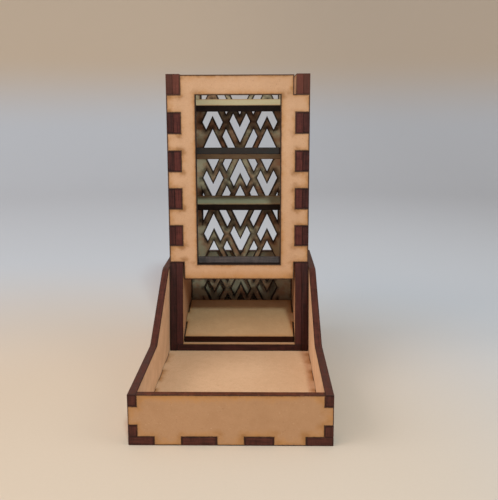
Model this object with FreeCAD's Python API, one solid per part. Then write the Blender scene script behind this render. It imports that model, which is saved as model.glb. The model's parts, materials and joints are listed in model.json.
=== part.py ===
import FreeCAD, Part
import math
import os

# Desktop dice tower, cut from flat board and finger-jointed.
# A tower with a lattice back stands loose in a low tray; dice drop in at the open top,
# tumble over four short baffles and roll out of the front over a ramp.
#
# Frame, in millimetres: origin at the centre of the tray's underside, +Z up, the tray's
# front faces -Y, +X is to the right of someone who looks at the front.

# ---- driving dimensions ---------------------------------------------------------------
board = 3.0                     # thickness of every board

tray_width = 70.0
tray_length = 141.5
tray_front_height = 18.2        # height of the tray walls around the landing area
tray_rear_height = 41.0         # height of the tray walls around the tower
slope_start = 53.5              # from the tray's front face to the foot of the slope
slope_angle = 28.3              # degrees
slope_foot_radius = 8.0
slope_head_radius = 12.0
front_tab_low = 7.2             # the front wall's end tabs lie between these two heights
front_tab_high = 14.1
front_wall_tabs = [(-26.2, -16.7), (-4.8, 4.8), (14.6, 25.8)]    # down into the floor
back_wall_tabs = [(-25, -15), (-5, 5), (15, 25)]
side_fingers = 13               # equal fingers and gaps along each side of the floor
rear_fingers = 5                # equal fingers and gaps up each rear corner

tower_width = 63.5              # over both double side walls
tower_depth = 40.5              # over the front and back panels
tower_height = 124.8
rear_gap = 0.5                  # between the back panel and the tray's back wall
finger = 8.8                    # height of a side wall finger
finger_pitch = 16.87
front_fingers = 5               # fingers up each front corner, above the legs
back_fingers = 8                # fingers up each back corner, from top to bottom
leg_toe = 5.65                  # how far the feet of the slanted legs stand in front
tongue_drop = 7.95              # front panel below the top of the legs
tongue_gap = 0.45               # side gap between the tongue and the legs
panel_step = 0.35               # from the top of the side walls down to the front panel
loose_notch = 1.0               # side gap beside the top right finger of the front panel

window_width = 37.5
window_bottom = 42.65
window_top = 118.6

lattice_shift = -0.4             # the lattice sits a little off the panel's centre line
lattice_half_width = 18.75
lattice_bottom = 12.0
lattice_top = 121.0
cell_half_width = 13.45         # half diagonals of one diamond of the lattice
cell_half_height = 28.0
cell_first_height = 8.4         # centre height of the lowest diamond in the middle column
diamond_size = 0.375            # the openings inside a diamond, as fractions of its size
chevron_inner = 0.60
chevron_outer = 0.865
chevron_split = 0.12
smallest_opening = 1.0          # narrower slits at the lattice's border stay uncut

tilt = 15.0                     # degrees, of the ramp and of every baffle
baffle_length = 12.0            # along the slope
baffle_tab = 6.0
upper_back_baffle_height = 117.3    # height of each baffle's top edge at its panel
upper_front_baffle_height = 95.6
lower_back_baffle_height = 70.05
lower_front_baffle_height = 45.6
ramp_length = 34.7              # along the slope
ramp_width = 50.7
ramp_setback = 3.6              # from the front of the legs to the ramp's lower corner
ramp_tab_start = 13.1
ramp_tab = 9.4
base_tab = 10.0

# ---- derived places -------------------------------------------------------------------
tray_x = tray_width / 2
tray_y = tray_length / 2
tower_x = tower_width / 2
seam_x = tower_x - board                # where the two boards of a side wall meet
inner_x = tower_x - 2 * board           # inner face of a side wall
tower_bottom = board
tower_top = tower_bottom + tower_height
back_y = tray_y - board - rear_gap      # outer face of the back panel
shaft_rear = back_y - board             # inner face of the back panel
front_y = back_y - tower_depth          # outer face of the front panel
shaft_front = front_y + board           # inner face of the front panel
toe_y = front_y - leg_toe
leg_top = tower_top - front_fingers * finger_pitch
slope = math.radians(tilt)
edge_lean = board * math.sin(slope)     # how far a sloped board's square-cut end leans
edge_rise = board * math.cos(slope)


# ---- building blocks ------------------------------------------------------------------
def block(x_span, y_span, z_span):
    """A box between two values along each axis."""
    low = FreeCAD.Vector(x_span[0], y_span[0], z_span[0])
    return Part.makeBox(
        x_span[1] - x_span[0], y_span[1] - y_span[0], z_span[1] - z_span[0], low
    )


def joined(first, others):
    """One clean solid from a board and what is added to it."""
    others = list(others)
    return first.fuse(others).removeSplitter() if others else first


def mirrored(span):
    return (-span[1], -span[0])


def both_sides(span):
    return [span, mirrored(span)]


def prism(points, y_span):
    """An upright prism whose outline is a list of (x, z) points."""
    corners = [FreeCAD.Vector(x, y_span[0], z) for x, z in points]
    face = Part.Face(Part.makePolygon(corners + corners[:1]))
    return face.extrude(FreeCAD.Vector(0, y_span[1] - y_span[0], 0))


def alternate_spans(start, end, count, first):
    """Every second one of count equal spans between start and end."""
    step = (end - start) / count
    return [(start + i * step, start + (i + 1) * step) for i in range(first, count, 2)]


def rounded_outline(x, corners):
    """A closed wire in the plane at x, from (y, z, radius) corners."""
    points = [FreeCAD.Vector(x, y, z) for y, z, _ in corners]
    bends = []
    for i, (_, _, radius) in enumerate(corners):
        here = points[i]
        to_last = (points[i - 1] - here).normalize()
        to_next = (points[(i + 1) % len(points)] - here).normalize()
        half_angle = to_last.getAngle(to_next) / 2
        reach = radius / math.tan(half_angle)
        inward = (to_last + to_next).normalize()
        depth = radius / math.sin(half_angle) - radius
        bends.append((here + to_last * reach, here + inward * depth, here + to_next * reach))
    edges = []
    for i, (start, middle, end) in enumerate(bends):
        if corners[i][2] > 0:
            edges.append(Part.Arc(start, middle, end).toShape())
        following = bends[(i + 1) % len(bends)][0]
        edges.append(Part.LineSegment(end, following).toShape())
    return Part.Wire(edges)


def cut_board(x, corners):
    """An upright board of the usual thickness whose left face, at x, has that outline."""
    face = Part.Face(rounded_outline(x, corners))
    return face.extrude(FreeCAD.Vector(board, 0, 0))


# ---- tray -----------------------------------------------------------------------------
side_wall_tabs = alternate_spans(-tray_y, tray_y, side_fingers, 1)
rear_side_spans = alternate_spans(board, tray_rear_height, rear_fingers, 0)
rear_wall_spans = alternate_spans(board, tray_rear_height, rear_fingers, 1)
front_edge = (-tray_y, -tray_y + board)
rear_edge = (tray_y - board, tray_y)
side_edge = (tray_x - board, tray_x)


def tray_floor():
    floor = block((-tray_x, tray_x), (-tray_y, tray_y), (0, board))
    notches = [block(x_span, front_edge, (0, board)) for x_span in front_wall_tabs]
    notches += [block(x_span, rear_edge, (0, board)) for x_span in back_wall_tabs]
    notches += [
        block(x_span, y_span, (0, board))
        for y_span in side_wall_tabs
        for x_span in both_sides(side_edge)
    ]
    return floor.cut(notches)


def tray_end_wall(y_span, height, floor_tabs, end_tabs):
    """The front or back wall, with tabs down into the floor and out into the sides."""
    wall = block((-side_edge[0], side_edge[0]), y_span, (board, height))
    tabs = [block(x_span, y_span, (0, board)) for x_span in floor_tabs]
    tabs += [
        block(x_span, y_span, z_span) for z_span in end_tabs for x_span in both_sides(side_edge)
    ]
    return joined(wall, tabs)


def tray_side_wall(x_span):
    """A side wall: low at the landing area, then a slope up to the tower's surround."""
    slope_foot_y = -tray_y + slope_start
    rise = tray_rear_height - tray_front_height
    slope_head_y = slope_foot_y + rise / math.tan(math.radians(slope_angle))
    corners = [
        (front_edge[1], board, 0),
        (rear_edge[0], board, 0),
        (rear_edge[0], tray_rear_height, 0),
        (slope_head_y, tray_rear_height, slope_head_radius),
        (slope_foot_y, tray_front_height, slope_foot_radius),
        (front_edge[1], tray_front_height, 0),
    ]
    wall = cut_board(x_span[0], corners)
    tabs = [block(x_span, y_span, (0, board)) for y_span in side_wall_tabs]
    front_spans = [(board, front_tab_low), (front_tab_high, tray_front_height)]
    tabs += [block(x_span, front_edge, z_span) for z_span in front_spans]
    tabs += [block(x_span, rear_edge, z_span) for z_span in rear_side_spans]
    return joined(wall, tabs)


# ---- tower ----------------------------------------------------------------------------
def finger_spans(count):
    """Heights of the side wall fingers, from the top of the tower down."""
    tops = [tower_top - i * finger_pitch for i in range(count)]
    return [(max(top - finger, tower_bottom), top) for top in tops]


def sloped_board(front_top, angle, length, width, tab_start, tab_length):
    """A board between the side walls, tabbed into their inner boards.

    front_top is the (y, z) of its upper front edge, and angle is how it rises to the back.
    """
    plate = block((-width / 2, width / 2), (0, length), (-board, 0))
    tabs = block((-seam_x, seam_x), (tab_start, tab_start + tab_length), (-board, 0))
    plate = joined(plate, [tabs])
    plate.rotate(FreeCAD.Vector(0, 0, 0), FreeCAD.Vector(1, 0, 0), angle)
    plate.translate(FreeCAD.Vector(0, *front_top))
    return plate


def baffle(front_top, angle):
    tab_start = (baffle_length - baffle_tab) / 2
    return sloped_board(front_top, angle, baffle_length, 2 * inner_x, tab_start, baffle_tab)


def back_baffle(height):
    """Slopes down to the front, with its lower rear edge against the back panel."""
    run = baffle_length * math.cos(slope)
    drop = baffle_length * math.sin(slope)
    return baffle((shaft_rear - edge_lean - run, height - drop), tilt)


def front_baffle(height):
    """Slopes down to the back, with its lower front edge against the front panel."""
    return baffle((shaft_front + edge_lean, height), -tilt)


def exit_ramp():
    front_top = (toe_y + ramp_setback - edge_lean, tower_bottom + board + edge_rise)
    return sloped_board(front_top, tilt, ramp_length, ramp_width, ramp_tab_start, ramp_tab)


def base_plate():
    """The tower's own floor, under the inner boards and tabbed through the outer ones."""
    z_span = (tower_bottom, tower_bottom + board)
    plate = block((-seam_x, seam_x), (toe_y, shaft_rear), z_span)
    middle = (toe_y + shaft_rear) / 2
    side_tabs = [
        block((-tower_x, tower_x), (start, start + base_tab), z_span)
        for start in (middle - 1.5 * base_tab, middle + 0.5 * base_tab)
    ]
    rear_tab = block((-base_tab, base_tab), (shaft_rear, back_y), z_span)
    return joined(plate, side_tabs + [rear_tab])


def side_board(x_span, let_in):
    """One board of a double side wall, cut out for the boards that are let into it."""
    corners = [
        (toe_y, tower_bottom, 0),
        (shaft_rear, tower_bottom, 0),
        (shaft_rear, tower_top, 0),
        (shaft_front, tower_top, 0),
        (shaft_front, leg_top, 0),
        (front_y, leg_top, 0),
        (toe_y, tower_bottom + board, 0),
    ]
    upright = cut_board(x_span[0], corners)
    fingers = [block(x_span, (front_y, shaft_front), z) for z in finger_spans(front_fingers)]
    fingers += [block(x_span, (shaft_rear, back_y), z) for z in finger_spans(back_fingers)]
    return joined(upright, fingers).cut(let_in)


def front_panel():
    y_span = (front_y, shaft_front)
    panel = block((-tower_x, tower_x), y_span, (leg_top, tower_top - panel_step))
    tongue_x = inner_x - tongue_gap
    tongue = block((-tongue_x, tongue_x), y_span, (leg_top - tongue_drop, leg_top))
    window_x = window_width / 2
    cuts = [block((-window_x, window_x), y_span, (window_bottom, window_top))]
    cuts += [
        block(x_span, y_span, z_span)
        for z_span in finger_spans(front_fingers)
        for x_span in both_sides((inner_x, tower_x))
    ]
    top_finger = finger_spans(1)[0]
    cuts.append(block((inner_x - loose_notch, inner_x), y_span, top_finger))
    return joined(panel, [tongue]).cut(cuts)


def chevron():
    """One chevron opening of a unit diamond, pointing up, as (across, up) points."""
    points = [(0, chevron_outer)]
    for reach in (chevron_outer, chevron_inner):
        points.append(((reach - chevron_split) / 2, (reach + chevron_split) / 2))
    points.append((0, chevron_inner))
    return points + [(-across, up) for across, up in points[2:0:-1]]


def cell_openings(centre_x, centre_z, y_span):
    """The openings of one diamond: a small diamond and the four chevrons around it."""
    up = chevron()
    outlines = [
        [(0, diamond_size), (diamond_size, 0), (0, -diamond_size), (-diamond_size, 0)],
        up,
        [(a, -b) for a, b in up],
        [(b, a) for a, b in up],
        [(-b, a) for a, b in up],
    ]
    return [
        prism([(centre_x + a * cell_half_width, centre_z + b * cell_half_height)
               for a, b in outline], y_span)
        for outline in outlines
    ]


def back_panel(let_in):
    """The lattice panel: diamonds in staggered columns, with plain margins."""
    y_span = (shaft_rear, back_y)
    panel = block((-tower_x, tower_x), y_span, (tower_bottom, tower_top))
    openings = []
    for column in range(-2, 3):
        first = cell_first_height + (column % 2) * cell_half_height
        for row in range(3):
            across = lattice_shift + column * cell_half_width
            centre = (across, first + row * 2 * cell_half_height)
            openings += cell_openings(*centre, y_span)
    field_x = (lattice_shift - lattice_half_width, lattice_shift + lattice_half_width)
    field = block(field_x, y_span, (lattice_bottom, lattice_top))
    pierced = [
        opening for opening in field.common(Part.Compound(openings)).Solids
        if opening.BoundBox.XLength > smallest_opening
    ]
    notches = [
        block(x_span, y_span, z_span)
        for z_span in finger_spans(back_fingers)
        for x_span in both_sides((inner_x, tower_x))
    ]
    return panel.cut(pierced + notches + [let_in])


# ---- the whole object -----------------------------------------------------------------
base = base_plate()
sloped = {
    "upper_back_baffle": back_baffle(upper_back_baffle_height),
    "upper_front_baffle": front_baffle(upper_front_baffle_height),
    "lower_back_baffle": back_baffle(lower_back_baffle_height),
    "lower_front_baffle": front_baffle(lower_front_baffle_height),
    "exit_ramp": exit_ramp(),
}
let_into_inner = [base] + list(sloped.values())
inner_span = (inner_x, seam_x)
outer_span = (seam_x, tower_x)
front_tabs = [(front_tab_low, front_tab_high)]

nodes = {
    "tray_floor": tray_floor(),
    "tray_front_wall": tray_end_wall(
        front_edge, tray_front_height, front_wall_tabs, front_tabs
    ),
    "tray_back_wall": tray_end_wall(
        rear_edge, tray_rear_height, back_wall_tabs, rear_wall_spans
    ),
    "tray_left_wall": tray_side_wall(mirrored(side_edge)),
    "tray_right_wall": tray_side_wall(side_edge),
    "front_panel": front_panel(),
    "back_panel": back_panel(base),
    "left_inner_side": side_board(mirrored(inner_span), let_into_inner),
    "left_outer_side": side_board(mirrored(outer_span), [base]),
    "right_inner_side": side_board(inner_span, let_into_inner),
    "right_outer_side": side_board(outer_span, [base]),
    "base_plate": base,
}
nodes.update(sloped)

os.makedirs("parts", exist_ok=True)
for name, shape in nodes.items():
    solids = shape.Solids
    if len(solids) != 1 or not solids[0].isValid():
        raise ValueError(f"{name} has {len(solids)} solids or isn't valid")
    solids[0].exportStep(f"parts/{name}.step")
    box = shape.BoundBox
    print(f"{name:20s} {shape.Volume:9.1f} mm3  z {box.ZMin:6.2f} to {box.ZMax:6.2f}")
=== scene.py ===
import json
import math

import bmesh
import bpy
import numpy as np
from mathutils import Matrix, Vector
from mathutils.geometry import delaunay_2d_cdt

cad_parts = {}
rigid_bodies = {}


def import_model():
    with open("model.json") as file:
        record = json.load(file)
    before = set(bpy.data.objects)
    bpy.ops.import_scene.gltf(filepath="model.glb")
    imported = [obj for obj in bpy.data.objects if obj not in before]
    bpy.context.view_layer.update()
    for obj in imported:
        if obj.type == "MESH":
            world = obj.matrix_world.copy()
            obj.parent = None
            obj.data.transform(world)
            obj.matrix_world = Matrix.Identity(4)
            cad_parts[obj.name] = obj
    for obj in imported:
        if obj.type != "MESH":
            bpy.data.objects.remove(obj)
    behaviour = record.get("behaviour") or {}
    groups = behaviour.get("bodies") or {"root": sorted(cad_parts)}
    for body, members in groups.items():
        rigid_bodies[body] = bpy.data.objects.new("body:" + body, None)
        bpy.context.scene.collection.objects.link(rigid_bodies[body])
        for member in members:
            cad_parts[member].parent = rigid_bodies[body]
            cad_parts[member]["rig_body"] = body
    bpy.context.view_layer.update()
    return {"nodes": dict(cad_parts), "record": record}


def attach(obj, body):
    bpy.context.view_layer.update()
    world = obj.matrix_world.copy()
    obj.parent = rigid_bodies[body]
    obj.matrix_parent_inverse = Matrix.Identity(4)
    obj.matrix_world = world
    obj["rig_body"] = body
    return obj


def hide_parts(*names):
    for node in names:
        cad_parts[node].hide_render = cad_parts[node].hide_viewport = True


# Dice tower of laser-cut fibreboard. Every board of the frame is rebuilt as a finely divided
# mesh: arrises rounded off, sheet faces and scorched cut edges in materials of their own, and
# on every point the distances to the nearest cut and corner, which place scorch and stains.

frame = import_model()

MM = 0.001

# ---- board meshes ---------------------------------------------------------------------
ARRIS = 0.14                # rounding of a cut edge's two arrises, mm
SCORCH_RINGS = (0.5, 1.05)  # rings of points that follow each outline at these distances, mm
EDGE_STEP = 1.5             # longest side of a face along an outline, mm
SHEET_STEP = 2.3            # spacing of points across a sheet, mm
WALL_ROWS = 4               # faces across the thickness of a cut edge
STRAIGHT_SINE = 0.01        # a point that turns by less than this lies on a straight side
SHARP_SINE = 0.35           # corners that turn by more than this collect soot
SAME_POINT = 1e-6           # points of the frame closer than this are one, m
SAME_LEVEL = 1e-5           # a face this close to the top belongs to the sheet face, m
SEAM_WELD = 1e-7            # the board's own rings and sheets meet within this, m
FLAT_TOLERANCE = 1e-6       # for the division of a sheet face into triangles, mm
FACE_SLOT, EDGE_SLOT, HOLE_SLOT = 0, 1, 2

# Steps in the place where a pattern is read, so that no two faces have the same one, mm
BOARD_EDGES_APART = 400.0   # from one board's cut edges to the next board's
LOOP_EDGES_APART = 20.0     # from one outline to the next on the same board
BOARD_SHEETS_APART = 40.0   # from one board's sheet faces to the next board's
SHEET_FROM_MIDDLE = 15.0    # from the middle to either sheet face of a board


def board_axes(mesh):
    """Two axes in the plane of the board and its normal, from its largest faces."""
    areas = {}
    for polygon in mesh.polygons:
        key = tuple(round(abs(c), 2) for c in polygon.normal)
        total, normal = areas.get(key, (0.0, polygon.normal.copy()))
        areas[key] = (total + polygon.area, normal)
    normal = max(areas.values(), key=lambda entry: entry[0])[1].normalized()
    across = Vector((0, 1, 0)) if abs(normal.x) > 0.9 else Vector((1, 0, 0))
    return across, normal.cross(across).normalized(), normal


def outline_loops(mesh, normal):
    """The closed loops of points round the board's upper sheet face, and its thickness."""
    bm = bmesh.new()
    bm.from_mesh(mesh)
    bmesh.ops.remove_doubles(bm, verts=bm.verts, dist=SAME_POINT)
    heights = [v.co.dot(normal) for v in bm.verts]
    top, bottom = max(heights), min(heights)
    sheet = {f for f in bm.faces if f.calc_center_median().dot(normal) > top - SAME_LEVEL}
    following = {}
    for face in sheet:
        for loop in face.loops:
            if not all(other in sheet for other in loop.edge.link_faces):
                following[loop.vert.index] = loop.link_loop_next.vert.index
    bm.verts.ensure_lookup_table()
    loops = []
    while following:
        first, here = following.popitem()
        loop = [first]
        while here != first:
            loop.append(here)
            here = following.pop(here)
        loops.append([bm.verts[i].co.copy() for i in loop])
    bm.free()
    return loops, top, bottom


def bent_points(points, least_sine):
    """The points where the loop turns, by the sine of the angle at least, as an array."""
    before = points - np.roll(points, 1, axis=0)
    after = np.roll(points, -1, axis=0) - points
    turn = before[:, 0] * after[:, 1] - before[:, 1] * after[:, 0]
    size = np.linalg.norm(before, axis=1) * np.linalg.norm(after, axis=1)
    return points[np.abs(turn) > least_sine * size]


def in_order(loops):
    """The loops in an order, and each from a first point, that only their shape decides.

    So the patterns that run along them are the same in every run."""
    started = []
    for loop in loops:
        placed = [tuple(point) for point in loop.round(3)]
        started.append(np.roll(loop, -placed.index(min(placed)), axis=0))
    return sorted(started, key=lambda loop: tuple(loop[0].round(3)))


def inset(points, distance):
    """The loop moved by a distance into the board, which lies on its left."""
    before = points - np.roll(points, 1, axis=0)
    after = np.roll(points, -1, axis=0) - points
    left_before = np.stack([-before[:, 1], before[:, 0]], axis=1)
    left_after = np.stack([-after[:, 1], after[:, 0]], axis=1)
    left_before /= np.linalg.norm(left_before, axis=1)[:, None]
    left_after /= np.linalg.norm(left_after, axis=1)[:, None]
    mitre = left_before + left_after
    mitre /= (1 + (left_before * left_after).sum(axis=1))[:, None]
    return points + mitre * distance


def divided(corners, insets):
    """Points along the loop at each inset, in matching columns, with every side cut up."""
    rows = [inset(corners, distance) for distance in insets]
    following = np.roll(corners, -1, axis=0)
    pieces = [[] for _ in insets]
    for i, length in enumerate(np.linalg.norm(following - corners, axis=1)):
        count = max(1, math.ceil(length / EDGE_STEP))
        shares = np.arange(count)[:, None] / count
        for row, piece in zip(rows, pieces):
            ahead = row[(i + 1) % len(row)]
            piece.append(row[i] + (ahead - row[i]) * shares)
    return [np.concatenate(piece) for piece in pieces]


def distance_to_sides(points, loops):
    """Distance of each point to the nearest side of any loop."""
    nearest = np.full(len(points), np.inf)
    for loop in loops:
        for start, end in zip(loop, np.roll(loop, -1, axis=0)):
            along = end - start
            share = np.clip(((points - start) @ along) / (along @ along), 0, 1)
            gap = np.linalg.norm(points - start - share[:, None] * along, axis=1)
            nearest = np.minimum(nearest, gap)
    return nearest


def distance_to_corners(points, corners):
    """Distance of each point to the nearest corner."""
    nearest = np.full(len(points), np.inf)
    for corner in corners:
        nearest = np.minimum(nearest, np.linalg.norm(points - corner, axis=1))
    return nearest


def inside(points, loops):
    """True for each point that lies on the board."""
    crossings = np.zeros(len(points), int)
    for loop in loops:
        for (x0, y0), (x1, y1) in zip(loop, np.roll(loop, -1, axis=0)):
            if y0 == y1:
                continue
            spans = (points[:, 1] >= min(y0, y1)) & (points[:, 1] < max(y0, y1))
            at = x0 + (points[:, 1] - y0) * (x1 - x0) / (y1 - y0)
            crossings += spans & (at > points[:, 0])
    return crossings % 2 == 1


def sheet_points(loops):
    """A staggered grid of points over the board, clear of the loops."""
    everything = np.concatenate(loops)
    low, high = everything.min(axis=0), everything.max(axis=0)
    rise = SHEET_STEP * math.sqrt(3) / 2
    rows = np.arange(low[1] + rise / 2, high[1], rise)
    columns = np.arange(low[0], high[0], SHEET_STEP)
    grid = np.array([
        (x + (i % 2) * SHEET_STEP / 2, y) for i, y in enumerate(rows) for x in columns
    ])
    grid = grid[inside(grid, loops)]
    return grid[distance_to_sides(grid, loops) > 0.5 * SHEET_STEP]


def rebuilt_board(name, seed, heart):
    """The frame's board of that name as a finely divided mesh object.

    Its inner side is the one that faces heart. The mesh carries two attributes, in mm.
    Place says where a pattern is read: x and y over a sheet face, or the way along and the
    height on a cut edge, and then a number that differs from board to board.
    Cut holds the distance to the nearest cut and the distance to the nearest sharp corner,
    and then a share that is 0 on the outer face and 1 on the inner one."""
    source = frame["nodes"][name].data
    across, up, normal = board_axes(source)
    raw_loops, top, bottom = outline_loops(source, normal)
    thickness = (top - bottom) / MM

    def to_plane(co):
        return co.dot(across) / MM, co.dot(up) / MM

    loops = in_order(
        bent_points(np.array([to_plane(co) for co in loop]), STRAIGHT_SINE)
        for loop in raw_loops
    )
    half = thickness / 2
    leg = ARRIS * (1 - math.sqrt(0.5))
    rings = [(ARRIS, half), (leg, half - leg), (0.0, half - ARRIS)]
    rings += [(0.0, (half - ARRIS) * (1 - 2 * row / WALL_ROWS)) for row in range(1, WALL_ROWS)]
    rings += [(0.0, ARRIS - half), (leg, leg - half), (ARRIS, -half)]
    offsets = [distance for distance, _ in rings]

    middle = normal * (top + bottom) / 2
    inner_side = 1.0 if Vector(heart).dot(normal) > (top + bottom) / 2 else -1.0
    points, cut_distance, inward = [], [], []
    faces, slots, smooth, lie = [], [], [], []

    def add_points(flat, height, cut):
        start = len(points)
        for (x, y), gap in zip(flat, np.broadcast_to(cut, len(flat))):
            points.append(middle + (across * x + up * y + normal * height) * MM)
            cut_distance.append(gap)
            inward.append(0.5 + 0.5 * inner_side * height / half)
        return start

    def add_face(indices, slot, is_smooth, places):
        faces.append(indices)
        slots.append(slot)
        smooth.append(is_smooth)
        lie.extend(places)

    travelled = seed * BOARD_EDGES_APART
    inner_loops = []
    outermost = max(loops, key=lambda corners: np.ptp(corners, axis=0).prod())
    for corners in loops:
        edge_slot = EDGE_SLOT if corners is outermost else HOLE_SLOT
        columns = divided(corners, offsets + list(SCORCH_RINGS))
        inner_loops.append(columns[-1])
        count = len(columns[0])
        starts = [
            add_points(flat, height, 0.0)
            for flat, (_, height) in zip(columns, rings)
        ]
        outline = columns[2]
        steps = np.linalg.norm(np.roll(outline, -1, axis=0) - outline, axis=1)
        along = travelled + np.concatenate([[0.0], np.cumsum(steps)])
        travelled = along[-1] + LOOP_EDGES_APART
        for row in range(len(rings) - 1):
            arris = row in (0, 1, len(rings) - 3, len(rings) - 2)
            upper, lower = rings[row][1], rings[row + 1][1]
            for i in range(count):
                j = (i + 1) % count
                quad = (starts[row] + i, starts[row + 1] + i,
                        starts[row + 1] + j, starts[row] + j)
                places = [(along[i], upper, seed), (along[i], lower, seed),
                          (along[i + 1], lower, seed), (along[i + 1], upper, seed)]
                add_face(quad, edge_slot, arris, places)
        for side, height, outer_start in ((1, half, starts[0]), (-1, -half, starts[-1])):
            layer = seed * BOARD_SHEETS_APART + side * SHEET_FROM_MIDDLE
            last_start, last_flat = outer_start, columns[0]
            for flat, distance in zip(columns[-2:], SCORCH_RINGS):
                start = add_points(flat, height, distance)
                for i in range(count):
                    j = (i + 1) % count
                    quad = [last_start + i, last_start + j, start + j, start + i]
                    places = [last_flat[i], last_flat[j], flat[j], flat[i]]
                    if side < 0:
                        quad.reverse()
                        places.reverse()
                    add_face(quad, FACE_SLOT, False, [(x, y, layer) for x, y in places])
                last_start, last_flat = start, flat

    ring_points = np.concatenate(inner_loops)
    grid = sheet_points(inner_loops)
    flat = np.concatenate([ring_points, grid])
    sides = []
    first = 0
    for loop in inner_loops:
        sides += [(first + i, first + (i + 1) % len(loop)) for i in range(len(loop))]
        first += len(loop)
    vertices, _, triangles, _, _, _ = delaunay_2d_cdt(
        [Vector(p) for p in flat], sides, [], 0, FLAT_TOLERANCE, False
    )
    flat = np.array([tuple(v) for v in vertices])
    triangles = np.array(triangles)
    triangles = triangles[inside(flat[triangles].mean(axis=1), inner_loops)]
    gaps = distance_to_sides(flat, loops)
    for side, height in ((1, half), (-1, -half)):
        layer = seed * BOARD_SHEETS_APART + side * SHEET_FROM_MIDDLE
        start = add_points(flat, height, gaps)
        for triangle in triangles:
            order = triangle if side > 0 else triangle[::-1]
            add_face([start + i for i in order], FACE_SLOT, False,
                     [(*flat[i], layer) for i in order])

    mesh = bpy.data.meshes.new(name + "_board")
    mesh.from_pydata(points, [], faces)
    mesh.polygons.foreach_set("material_index", slots)
    mesh.polygons.foreach_set("use_smooth", smooth)
    place = mesh.attributes.new("place", "FLOAT_VECTOR", "CORNER")
    place.data.foreach_set("vector", np.array(lie, np.float32).ravel())
    plane = np.array([to_plane(co) for co in points])
    sharp_corners = np.concatenate([bent_points(loop, SHARP_SINE) for loop in loops])
    corner_gaps = distance_to_corners(plane, sharp_corners)
    cut = mesh.attributes.new("cut", "FLOAT_VECTOR", "POINT")
    cut_values = np.stack([cut_distance, corner_gaps, inward], axis=1)
    cut.data.foreach_set("vector", cut_values.astype(np.float32).ravel())

    bm = bmesh.new()
    bm.from_mesh(mesh)
    bmesh.ops.remove_doubles(bm, verts=bm.verts, dist=SEAM_WELD)
    bm.to_mesh(mesh)
    bm.free()
    board = bpy.data.objects.new(name + "_board", mesh)
    bpy.context.scene.collection.objects.link(board)
    return board


# ---- materials ------------------------------------------------------------------------
# Tones that all the sheet faces share
FIBRE = (0.33, 0.170, 0.085, 1)
DARK_FLECK = (0.20, 0.095, 0.045, 1)
PALE_FLECK = (0.72, 0.50, 0.34, 1)
SMOKE_STAIN = (0.43, 0.205, 0.075, 1)
SINGED = (0.37, 0.170, 0.058, 1)
SOOT = (0.215, 0.098, 0.040, 1)
INNER_CHAR_AND_SHADE = (0.024, 0.014, 0.009, 1)
SCORCH = (0.026, 0.010, 0.006, 1)

# Heights above the floor, at rest, over which a tone comes in, m
HEM_HEIGHTS = (0.0415, 0.0358)    # the front panel's lower edge, browned
RAMP_SHADE_HEIGHTS = (0.075, 0.030)     # the inner faces near the ramp, darkened as painted shade
LEG_SHADE_HEIGHTS = (0.046, 0.041)      # the cut edges below the front panel, darkened as painted shade
RIM_LIGHT_HEIGHTS = (0.108, 0.124)      # the cut edges at the tower's rim, paler as painted light from above


class Graph:
    """Short calls for building one material's nodes."""

    def __init__(self, name):
        self.material = bpy.data.materials.new(name)
        self.material.use_nodes = True
        self.tree = self.material.node_tree
        self.shader = self.tree.nodes["Principled BSDF"]

    def node(self, kind, **settings):
        made = self.tree.nodes.new(kind)
        for key, value in settings.items():
            setattr(made, key, value)
        return made

    def put(self, value, socket):
        if isinstance(value, bpy.types.NodeSocket):
            self.tree.links.new(value, socket)
        else:
            socket.default_value = value

    def attribute(self, name):
        return self.node("ShaderNodeAttribute", attribute_name=name).outputs["Vector"]

    def split(self, vector):
        made = self.node("ShaderNodeSeparateXYZ")
        self.put(vector, made.inputs[0])
        return made.outputs

    def scaled(self, vector, factors):
        made = self.node("ShaderNodeVectorMath", operation="MULTIPLY")
        self.put(vector, made.inputs[0])
        self.put(factors, made.inputs[1])
        return made.outputs[0]

    def noise(self, vector, scale, detail, roughness, distortion=0.0):
        made = self.node("ShaderNodeTexNoise", noise_dimensions="3D")
        self.put(vector, made.inputs["Vector"])
        self.put(scale, made.inputs["Scale"])
        self.put(detail, made.inputs["Detail"])
        self.put(roughness, made.inputs["Roughness"])
        self.put(distortion, made.inputs["Distortion"])
        return made.outputs["Fac"]

    def math(self, operation, a, b=0.0):
        made = self.node("ShaderNodeMath", operation=operation)
        self.put(a, made.inputs[0])
        self.put(b, made.inputs[1])
        return made.outputs[0]

    def spread(self, value, low, high, to_low=0.0, to_high=1.0):
        """Value eased from one range into another, and held at its ends."""
        made = self.node("ShaderNodeMapRange", interpolation_type="SMOOTHSTEP")
        for socket, number in zip(made.inputs[:5], (value, low, high, to_low, to_high)):
            self.put(number, socket)
        return made.outputs[0]

    def mixed(self, share, first, second):
        """First with that share of second laid over it."""
        made = self.node("ShaderNodeMix", data_type="RGBA", blend_type="MIX")
        self.put(share, made.inputs[0])
        self.put(first, made.inputs[6])
        self.put(second, made.inputs[7])
        return made.outputs[2]

    def bump(self, height, distance, strength, normal=None):
        made = self.node("ShaderNodeBump")
        self.put(strength, made.inputs["Strength"])
        self.put(distance, made.inputs["Distance"])
        self.put(height, made.inputs["Height"])
        if normal is not None:
            self.put(normal, made.inputs["Normal"])
        return made.outputs[0]


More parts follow.
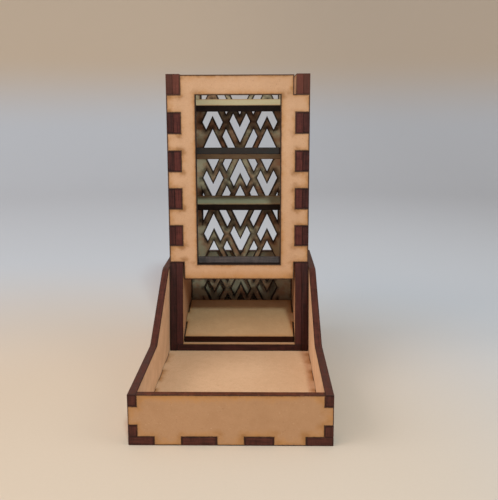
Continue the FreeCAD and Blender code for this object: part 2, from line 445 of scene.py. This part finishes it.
def sheet_material(name, pale, deep, stain_depth, scorch_width,
                   inner=None, burn=0.0, low=0.0, hem=0.0):
    """The sheet face of the board: pressed fibre, stained by smoke where the laser cut it.

    Pale and deep are the two tones of the clean sheet. Stain depth is how strong the smoke
    is, and scorch width how far the black of a cut reaches over the face.
    Inner is (share, dark, light): another pair of tones laid over the side that faces inwards,
    as painted light and shade. Burn is how deep the charring round the cuts is on that side,
    and low how much darker it is near the ramp, as painted shade low in the tower. Hem is how
    brown the front panel is along its lower edge.
    Every range that a distance to a cut or corner is spread over is in mm."""
    g = Graph(name)
    place = g.attribute("place")
    cut, corner, inward = g.split(g.attribute("cut"))
    _, _, stands = g.split(g.node("ShaderNodeTexCoord").outputs["Object"])

    clouds = g.noise(place, 0.035, 3.0, 0.5)
    mottle = g.noise(place, 0.36, 4.0, 0.6)
    fibre = g.noise(place, 2.3, 3.0, 0.65, 1.4)
    flecks = g.noise(place, 1.15, 2.0, 0.5, 2.5)
    drift = g.noise(place, 0.13, 3.0, 0.6)

    tone = g.math("ADD", g.math("MULTIPLY", clouds, 0.6), g.math("MULTIPLY", mottle, 0.4))
    colour = g.mixed(g.spread(tone, 0.34, 0.66), pale, deep)
    colour = g.mixed(g.spread(fibre, 0.44, 0.70, 0.0, 0.24), colour, FIBRE)
    colour = g.mixed(g.spread(flecks, 0.66, 0.76, 0.0, 0.60), colour, DARK_FLECK)
    colour = g.mixed(g.spread(flecks, 0.36, 0.24, 0.0, 0.28), colour, PALE_FLECK)

    wander = g.math("SUBTRACT", mottle, 0.5)
    ragged = g.math("ADD", cut, g.math("MULTIPLY", wander, 5.0))
    tint = g.math("MULTIPLY", g.spread(ragged, 3.4, -0.4),
                  g.spread(drift, 0.36, 0.64, 0.2, 1.0))
    near = g.math("ADD", cut, g.math("MULTIPLY", wander, 1.8))
    tint = g.math("MULTIPLY", tint, 0.72 * stain_depth)
    browned = g.math("MULTIPLY", g.spread(stands, *HEM_HEIGHTS, 0.0, hem),
                     g.spread(drift, 0.3, 0.6, 0.6, 1.0))
    tint = g.math("MAXIMUM", tint, browned)
    colour = g.mixed(tint, colour, SMOKE_STAIN)
    singe = g.math("MULTIPLY", g.spread(near, 2.0, 0.0),
                   g.spread(clouds, 0.35, 0.65, 0.35, 0.75))
    colour = g.mixed(singe, colour, SINGED)
    reach = g.math("ADD", corner, g.math("MULTIPLY", wander, 3.6))
    soot = g.math("MULTIPLY", g.spread(reach, 3.8, 0.2),
                  g.spread(drift, 0.42, 0.60, 0.1, 1.0))
    soot = g.math("MAXIMUM", soot, g.math("MULTIPLY", g.spread(near, 1.3, 0.2), 0.55))
    soot = g.math("MULTIPLY", soot, 1.24 * stain_depth * scorch_width)
    colour = g.mixed(soot, colour, SOOT)

    if inner:
        # Painted light and shade: the inner side takes tones set by how light falls inside the
        # tower and the tray.
        share, dark, light = inner
        inside_only = g.spread(inward, 0.8, 1.0)
        inner_painted_tone = g.mixed(g.spread(drift, 0.40, 0.60), dark, light)
        inner_painted_share = g.math("MULTIPLY", inside_only,
                       g.spread(clouds, 0.3, 0.7, 0.75 * share, share))
        colour = g.mixed(inner_painted_share, colour, inner_painted_tone)
        char_and_low_shade = g.math("MAXIMUM", g.math("MULTIPLY", g.spread(near, 1.20, 0.25), 0.97),
                       g.math("MULTIPLY", g.spread(reach, 3.0, 0.7), 0.85))
        char_and_low_shade = g.math("MULTIPLY", char_and_low_shade, burn)
        # Painted shade: the inner faces darken towards the ramp, low in the tower; the char
        # round the cuts is real.
        char_and_low_shade = g.math("MAXIMUM", char_and_low_shade, g.spread(stands, *RAMP_SHADE_HEIGHTS, 0.0, low))
        char_and_low_shade = g.math("MULTIPLY", char_and_low_shade, inside_only)
        colour = g.mixed(char_and_low_shade, colour, INNER_CHAR_AND_SHADE)

    bite = g.math("MULTIPLY", g.math("SUBTRACT", flecks, 0.5), 0.5)
    bite = g.math("ADD", g.math("ADD", cut, bite), g.math("MULTIPLY", wander, 0.3))
    scorch = g.spread(bite, 1.5 * scorch_width, 0.5 * scorch_width)
    colour = g.mixed(g.math("MULTIPLY", scorch, 0.93), colour, SCORCH)

    g.put(colour, g.shader.inputs["Base Color"])
    g.put(g.spread(fibre, 0.3, 0.7, 0.62, 0.80), g.shader.inputs["Roughness"])
    g.shader.inputs["Specular IOR Level"].default_value = 0.30
    fine = g.bump(fibre, 0.05 * MM, 0.7)
    g.put(g.bump(mottle, 0.12 * MM, 0.30, fine), g.shader.inputs["Normal"])
    return g.material


def cut_edge_material(name, char_and_shade, brown, rubbed_and_lit, leg_shade=0.0, rim_light=0.0):
    """A laser-cut edge: charred brown, layered through the thickness, darkest at its arrises.

    Char and brown are its two tones, and rubbed the tone where it is worn; char also serves as
    painted shade, and rubbed as painted light. Leg shade is how much darker it is below the
    front panel, on the legs and at the base, as painted shade, and rim light how much paler it
    is at the tower's rim, as painted light from above."""
    g = Graph(name)
    place = g.attribute("place")
    _, height, _ = g.split(place)

    layers = g.noise(g.scaled(place, (0.10, 1.9, 1.0)), 1.0, 3.0, 0.6)
    ribs = g.noise(g.scaled(place, (3.8, 0.22, 1.0)), 1.0, 3.0, 0.6)
    bands = g.noise(g.scaled(place, (0.42, 0.10, 1.0)), 1.0, 3.0, 0.55)
    grit = g.noise(place, 3.2, 3.0, 0.6)

    tone = g.math("ADD", g.math("MULTIPLY", layers, 0.50), g.math("MULTIPLY", ribs, 0.22))
    tone = g.math("ADD", tone, g.math("MULTIPLY", bands, 0.28))
    colour = g.mixed(g.spread(tone, 0.34, 0.62), char_and_shade, brown)
    colour = g.mixed(g.spread(grit, 0.60, 0.76, 0.0, 0.30), colour, rubbed_and_lit)
    arris = g.math("MULTIPLY", g.spread(g.math("ABSOLUTE", height), 1.10, 1.42), 0.65)
    _, corner, _ = g.split(g.attribute("cut"))
    arris = g.math("MAXIMUM", arris, g.spread(corner, 0.75, 0.10, 0.0, 0.85))
    colour = g.mixed(arris, colour, char_and_shade)
    worn = g.math("MULTIPLY", g.spread(g.math("ABSOLUTE", height), 1.38, 1.47),
                  g.spread(bands, 0.54, 0.62, 0.0, 0.55))
    colour = g.mixed(worn, colour, rubbed_and_lit)
    _, _, stands = g.split(g.node("ShaderNodeTexCoord").outputs["Object"])
    # Painted shade: darker below the front panel, on the legs and at the base. Painted light:
    # paler at the tower's rim, where light from above falls.
    colour = g.mixed(g.spread(stands, *LEG_SHADE_HEIGHTS, 0.0, leg_shade), colour, char_and_shade)
    colour = g.mixed(g.spread(stands, *RIM_LIGHT_HEIGHTS, 0.0, rim_light), colour, rubbed_and_lit)

    g.put(colour, g.shader.inputs["Base Color"])
    g.put(g.spread(layers, 0.3, 0.7, 0.40, 0.58), g.shader.inputs["Roughness"])
    g.shader.inputs["Specular IOR Level"].default_value = 0.16
    relief = g.math("ADD", g.math("MULTIPLY", ribs, 0.5), g.math("MULTIPLY", layers, 0.3))
    relief = g.math("ADD", relief, g.math("MULTIPLY", grit, 0.2))
    g.put(g.bump(relief, 0.09 * MM, 0.8), g.shader.inputs["Normal"])
    return g.material


sheet_tower = sheet_material(
    "tower_sheet", (0.562, 0.336, 0.213, 1), (0.498, 0.289, 0.174, 1), 1.22, 0.50
)
sheet_front = sheet_material(
    "front_sheet", (0.562, 0.336, 0.213, 1), (0.498, 0.289, 0.174, 1), 1.22, 0.50, hem=0.92
)
# Inner tones of the back panel: greenish painted light of the cool lamp and dark brown painted
# shade inside the tower; its inner face also darkens towards the ramp as painted shade.
sheet_lattice = sheet_material(
    "lattice_sheet", (0.580, 0.350, 0.220, 1), (0.520, 0.302, 0.185, 1), 1.15, 0.50,
    (0.86, (0.285, 0.165, 0.103, 1), (0.365, 0.355, 0.262, 1)), 0.90, 0.30
)
# Inner tones of the tray's back wall: dark greenish, painted shade behind the tower's back
# panel.
sheet_tray_back = sheet_material(
    "tray_back_sheet", (0.600, 0.365, 0.238, 1), (0.540, 0.315, 0.198, 1), 0.90, 0.30,
    (0.86, (0.125, 0.120, 0.085, 1), (0.170, 0.178, 0.140, 1)), 0.30
)
# The baffles' greenish sheet is a painted tint of the cool light on their tops; their inner
# tones darken the undersides as painted shade.
sheet_baffle = sheet_material(
    "baffle_sheet", (0.455, 0.415, 0.280, 1), (0.395, 0.355, 0.235, 1), 0.60, 0.26,
    (0.75, (0.200, 0.115, 0.070, 1), (0.270, 0.170, 0.105, 1)), 0.50
)
# A darker copy of the baffle sheet for the lower back baffle: painted shade where the baffle
# above shadows it.
sheet_shaded_low_baffle = sheet_material(
    "shaded_low_baffle_sheet", (0.330, 0.338, 0.245, 1), (0.285, 0.295, 0.210, 1), 0.60, 0.26,
    (0.75, (0.200, 0.115, 0.070, 1), (0.270, 0.170, 0.105, 1)), 0.50
)
sheet_ramp = sheet_material(
    "ramp_sheet", (0.490, 0.310, 0.180, 1), (0.425, 0.260, 0.145, 1), 0.85, 0.30
)
sheet_tray_floor = sheet_material(
    "tray_floor_sheet", (0.650, 0.428, 0.286, 1), (0.585, 0.373, 0.240, 1), 1.20, 0.17
)
# Pale inner tones of the tray walls: painted light on their inner faces.
sheet_tray_wall = sheet_material(
    "tray_wall_sheet", (0.600, 0.365, 0.238, 1), (0.540, 0.315, 0.198, 1), 1.15, 0.24,
    (0.66, (0.760, 0.545, 0.365, 1), (0.865, 0.640, 0.455, 1))
)
# Darker than the other tray walls: painted shade on the tray's front wall.
sheet_tray_front = sheet_material(
    "tray_front_sheet", (0.404, 0.219, 0.119, 1), (0.364, 0.191, 0.099, 1), 1.70, 0.28
)
edge_warm = cut_edge_material(
    "cut_edge_warm", (0.031, 0.0075, 0.0072, 1), (0.103, 0.0258, 0.0215, 1),
    (0.175, 0.058, 0.038, 1), 0.62, 0.35
)
edge_outer = cut_edge_material(
    "cut_edge_outer", (0.012, 0.0040, 0.0042, 1), (0.062, 0.0160, 0.0140, 1),
    (0.115, 0.040, 0.027, 1), 0.35, 0.45
)
edge_black = cut_edge_material(
    "cut_edge_black", (0.005, 0.003, 0.0028, 1), (0.016, 0.0075, 0.0065, 1),
    (0.05, 0.022, 0.016, 1)
)
# Grey tones for the lower front baffle's up-facing edge: a painted reflection of the bright
# light from above.
edge_sheen = cut_edge_material(
    "cut_edge_sheen", (0.016, 0.014, 0.017, 1), (0.082, 0.062, 0.065, 1),
    (0.14, 0.105, 0.10, 1)
)
edge_tray = cut_edge_material(
    "cut_edge_tray", (0.022, 0.0068, 0.0058, 1), (0.085, 0.0235, 0.0170, 1),
    (0.190, 0.072, 0.042, 1)
)
edge_tray_front = cut_edge_material(
    "cut_edge_tray_front", (0.031, 0.0085, 0.0048, 1), (0.118, 0.0290, 0.0135, 1),
    (0.230, 0.085, 0.044, 1)
)
edge_ramp = cut_edge_material(
    "cut_edge_ramp", (0.010, 0.0030, 0.0020, 1), (0.031, 0.0076, 0.0045, 1),
    (0.070, 0.025, 0.015, 1)
)

# Boards whose sheet faces or cut edges differ from the others of their slot
SHEETS = {
    "front_panel": sheet_front,
    "back_panel": sheet_lattice,
    "tray_back_wall": sheet_tray_back,
    "tray_floor": sheet_tray_floor,
    "tray_front_wall": sheet_tray_front,
    "exit_ramp": sheet_ramp,
    "lower_back_baffle": sheet_shaded_low_baffle,
}
EDGES = {
    "left_outer_side": edge_outer,
    "right_outer_side": edge_outer,
    "base_plate": edge_outer,
    "lower_front_baffle": edge_sheen,
    "exit_ramp": edge_ramp,
    "tray_front_wall": edge_tray_front,
}
HEARTS = {                  # a point inside the tower or the tray, m
    "tower_board": (0, 0.050, 0.070),
    "tray_board": (0, 0, 0.030),
    "baffle_board": (0, 0.050, 0.0),
}
BY_SLOT = {
    "tower_board": (sheet_tower, edge_warm),
    "tray_board": (sheet_tray_wall, edge_tray),
    "baffle_board": (sheet_baffle, edge_black),
}


# ---- the boards -----------------------------------------------------------------------
record_slots = {s["node"]: s["material_slot"] for s in frame["record"]["subparts"]}
for number, (node, record_slot) in enumerate(sorted(record_slots.items())):
    board = rebuilt_board(node, number + 1, HEARTS[record_slot])
    usual_sheet, usual_edge = BY_SLOT[record_slot]
    board.data.materials.append(SHEETS.get(node, usual_sheet))
    board.data.materials.append(EDGES.get(node, usual_edge))
    board.data.materials.append(edge_black)
    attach(board, frame["nodes"][node]["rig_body"])
    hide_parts(node)

# ---- floor, light and camera ----------------------------------------------------------
FLAT_RADIUS = 0.70          # the paper lies flat this far out, m
SWEEP_RADIUS = 0.60         # and then curves up all round, m
PAPER_LEVEL = -0.1 * MM     # it lies just under the object's feet
FLAT_STEPS = 4              # rings of faces on the flat part
SWEEP_STEPS = 18            # rings of faces on the curve
TURN_STEPS = 96             # faces round each ring

WARM_CENTRE = (0, -0.10, 0)                 # the paper is warm round here, m
WARM_PAPER = (0.575, 0.490, 0.425, 1)
WARM_PAPER_PALER = (0.595, 0.510, 0.445, 1)
PAPER_TO_THE_RIGHT = (0.545, 0.520, 0.515, 1)
PAPER_BEHIND = (0.495, 0.555, 0.675, 1)
PAPER_SWEEP = (0.525, 0.445, 0.374, 1)
PAPER_SHADE = (0.20, 0.20, 0.215, 1)


def studio_paper():
    """A pale sheet of paper under the object that curves up in the distance, its tones painted
    light and shade.
    """
    g = Graph("studio_paper")
    where = g.node("ShaderNodeTexCoord").outputs["Object"]
    sideways, _, height = g.split(where)
    outward = g.node("ShaderNodeVectorMath", operation="DISTANCE")
    g.put(where, outward.inputs[0])
    g.put(WARM_CENTRE, outward.inputs[1])
    tooth = g.noise(where, 900.0, 3.0, 0.6)
    clouds = g.noise(where, 4.0, 2.0, 0.5)
    # Painted light and shade: warm round the front, neutral to the right, bluish behind,
    # browner up the curve, and a painted shade far to the right.
    colour = g.mixed(g.spread(clouds, 0.3, 0.7), WARM_PAPER, WARM_PAPER_PALER)
    colour = g.mixed(g.spread(sideways, -0.10, 0.25), colour, PAPER_TO_THE_RIGHT)
    away = g.math("ADD", outward.outputs["Value"], g.math("MULTIPLY", sideways, 0.4))
    colour = g.mixed(g.spread(away, 0.07, 0.32), colour, PAPER_BEHIND)
    colour = g.mixed(g.spread(height, 0.07, 0.21), colour, PAPER_SWEEP)
    far_right = g.math("ADD", sideways, g.math("MULTIPLY", away, 0.25))
    colour = g.mixed(g.spread(far_right, 0.10, 0.60, 0.0, 0.22), colour, PAPER_SHADE)
    g.put(colour, g.shader.inputs["Base Color"])
    g.put(g.spread(tooth, 0.3, 0.7, 0.75, 0.95), g.shader.inputs["Roughness"])
    g.put(g.bump(tooth, 0.05 * MM, 0.4), g.shader.inputs["Normal"])

    bm = bmesh.new()
    profile = [
        (FLAT_RADIUS * i / FLAT_STEPS, PAPER_LEVEL) for i in range(1, FLAT_STEPS + 1)
    ]
    for i in range(1, SWEEP_STEPS + 1):
        angle = math.radians(90 * i / SWEEP_STEPS)
        profile.append((FLAT_RADIUS + SWEEP_RADIUS * math.sin(angle),
                        SWEEP_RADIUS * (1 - math.cos(angle)) + PAPER_LEVEL))
    turns = [math.tau * i / TURN_STEPS for i in range(TURN_STEPS)]
    centre = bm.verts.new((0, 0, PAPER_LEVEL))
    last = None
    for radius, level in profile:
        ring = [
            bm.verts.new((radius * math.cos(t), radius * math.sin(t), level)) for t in turns
        ]
        for i in range(len(ring)):
            j = (i + 1) % len(ring)
            if last is None:
                bm.faces.new((centre, ring[i], ring[j]))
            else:
                bm.faces.new((last[i], ring[i], ring[j], last[j]))
        last = ring
    for face in bm.faces:
        face.smooth = True
    mesh = bpy.data.meshes.new("studio_paper")
    bm.to_mesh(mesh)
    bm.free()
    mesh.materials.append(g.material)
    paper = bpy.data.objects.new("studio_paper", mesh)
    bpy.context.scene.collection.objects.link(paper)


def aim(item, target):
    """Turn the item so that it looks at the target."""
    item.rotation_euler = (Vector(target) - item.location).to_track_quat("-Z", "Y").to_euler()


def lamp(name, place, target, size, power, colour):
    """A square lamp at that place; size in m, power in W."""
    data = bpy.data.lights.new(name, "AREA")
    data.size = size
    data.energy = power
    data.color = colour
    item = bpy.data.objects.new(name, data)
    item.location = place
    bpy.context.scene.collection.objects.link(item)
    aim(item, target)


def surroundings(colour, strength):
    """Even light of that colour from all round."""
    world = bpy.data.worlds.new("studio")
    world.use_nodes = True
    background = world.node_tree.nodes["Background"]
    background.inputs["Color"].default_value = colour
    background.inputs["Strength"].default_value = strength
    bpy.context.scene.world = world


studio_paper()
surroundings((1.0, 0.88, 0.78, 1), 0.56)
lamp("key", (0.20, -1.00, 0.95), (0, 0.02, 0.06), 0.11, 8.4, (0.78, 1.0, 0.93))
lamp("softbox", (-0.75, -0.95, 0.85), (0, 0, 0.05), 0.9, 6.0, (1.0, 0.74, 0.53))
lamp("fill_left", (-1.05, -0.30, 0.75), (0, 0, 0.04), 0.9, 7.0, (1.0, 0.88, 0.77))
lamp("fill_right", (1.05, -0.30, 0.75), (0, 0, 0.04), 0.8, 2.8, (1.0, 0.85, 0.70))

# The photograph's viewpoint, found by fitting one camera to the object's corners
camera_data = bpy.data.cameras.new("camera")
camera_data.sensor_width = 36.0
camera_data.lens = 53.74
camera_data.clip_start = 0.01
camera = bpy.data.objects.new("camera", camera_data)
camera.location = (0.010957, -0.30815, 0.11345)
camera.rotation_euler = [math.radians(a) for a in (79.156, 0.199, 1.042)]
bpy.context.scene.collection.objects.link(camera)
bpy.context.scene.camera = camera
bpy.context.scene.view_settings.view_transform = "Standard"
